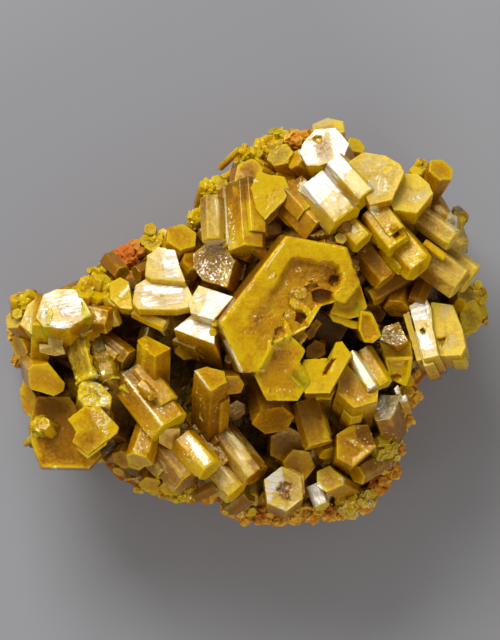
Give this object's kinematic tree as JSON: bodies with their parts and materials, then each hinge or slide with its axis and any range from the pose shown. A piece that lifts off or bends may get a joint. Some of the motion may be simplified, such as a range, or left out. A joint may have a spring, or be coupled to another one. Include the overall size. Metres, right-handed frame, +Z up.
{
  "type": "pyromorphite specimen",
  "caption": "Mineral hand specimen: stubby six-sided pyromorphite crystals, one large and hollow, crowded on limonite matrix sawn flat below.",
  "frame": {"origin": "on the sawn base of the matrix, under the middle of the specimen", "axes": "+X along the specimen's length, +Y across it towards the crystal capped end, +Z up from the base through the crystals"},
  "size_m": [0.0608, 0.0515, 0.032],
  "materials": {
    "limonite_matrix": "earthy, porous",
    "pyromorphite_crystals": "resinous, translucent honey yellow"
  },
  "bodies": {
    "root": {"limonite_matrix": "limonite_matrix", "pyromorphite_crystals": "pyromorphite_crystals"}
  },
  "joints": []
}
